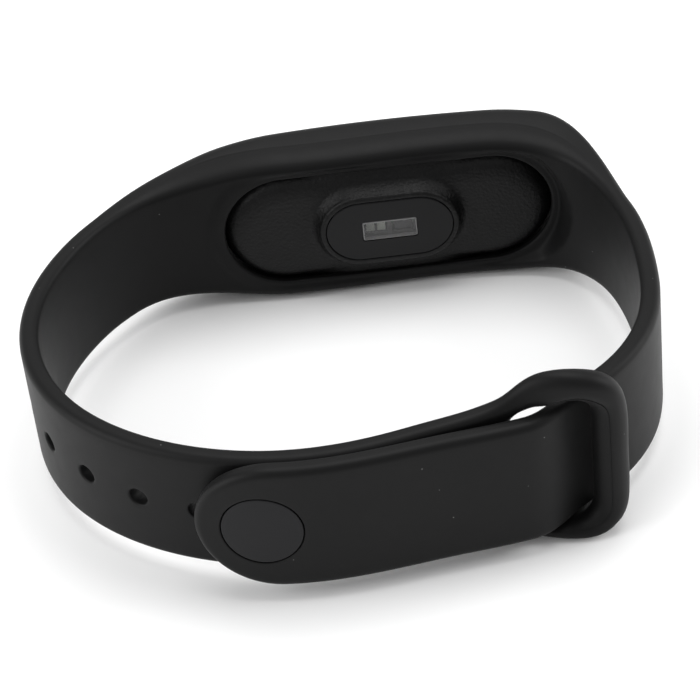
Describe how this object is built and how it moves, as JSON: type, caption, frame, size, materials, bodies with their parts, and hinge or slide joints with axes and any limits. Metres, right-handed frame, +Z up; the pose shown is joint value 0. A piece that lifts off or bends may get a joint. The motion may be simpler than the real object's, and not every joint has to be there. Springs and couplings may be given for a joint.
{
  "type": "fitness tracker band",
  "caption": "Black silicone wrist strap fastened into a loop by a tuck-through keeper and a stud, holding a capsule-shaped fitness tracker with a rear pulse sensor.",
  "frame": {"origin": "centre of the footprint of the bounding box, on the surface that the strap's lower edge stands on", "axes": "+X along the tracker, +Y from the wrist out through the tracker's window, +Z up across the width of the strap"},
  "size_m": [0.0716, 0.0632, 0.0229],
  "materials": {
    "silicone": "soft matt black silicone",
    "case_plastic": "fine-textured black moulding",
    "lens_gloss": "smooth black lens",
    "sensor_clear": "clear window over the sensor",
    "barrier_black": "matt black",
    "led_green": "green diode lens",
    "silicon": "photodiode",
    "circuit_board": "green solder mask",
    "chip_black": "moulded chip",
    "gold": "gold-plated",
    "battery_foil": "laminated foil pouch",
    "display": "dark panel",
    "flex_amber": "amber flexible circuit",
    "steel": "bright steel",
    "tungsten": "sintered heavy alloy",
    "stud_black": "dark-coated, finely brushed",
    "window_gloss": "tinted gloss window",
    "gasket": "soft seal"
  },
  "bodies": {
    "strap": {"strap_cradle": "silicone", "hole_arm": "silicone", "keeper_ring": "silicone", "stud_arm": "silicone"},
    "tail": {"stud_tail": "silicone", "stud_cap": "stud_black", "stud_post": "steel"},
    "tracker": {"antenna": "gold", "battery_cell": "battery_foil", "bluetooth_chip": "chip_black", "case_gasket": "gasket", "charge_contact_lower": "gold", "charge_contact_upper": "gold", "display_flex": "flex_amber", "display_module": "display", "front_shell": "case_plastic", "front_window": "window_gloss", "green_led_left": "led_green", "green_led_right": "led_green", "inner_carrier": "barrier_black", "light_barrier": "barrier_black", "main_board": "circuit_board", "memory_chip": "chip_black", "motion_sensor_chip": "chip_black", "motor_base": "steel", "motor_cup": "steel", "photodiode": "silicon", "power_chip": "chip_black", "rear_shell": "case_plastic", "sensor_board": "circuit_board", "sensor_lens": "lens_gloss", "sensor_window": "sensor_clear", "touch_pad": "gold"},
    "motor_rotor": {"motor_weight": "tungsten"}
  },
  "joints": [
    {"name": "tracker_release", "type": "slide", "parent": "strap", "child": "tracker", "axis": [0, 1, 0], "range_m": [0, 0.014]},
    {"name": "tail_lift", "type": "hinge", "parent": "strap", "child": "tail", "pos_m": [0.01208, -0.0294, 0.0102], "axis": [0, 0, 1], "range_deg": [0, 60]},
    {"name": "motor_spin", "type": "hinge", "parent": "tracker", "child": "motor_rotor", "pos_m": [-0.00631, 0.02477, 0.0102], "axis": [0, 1, 0], "continuous": true}
  ]
}
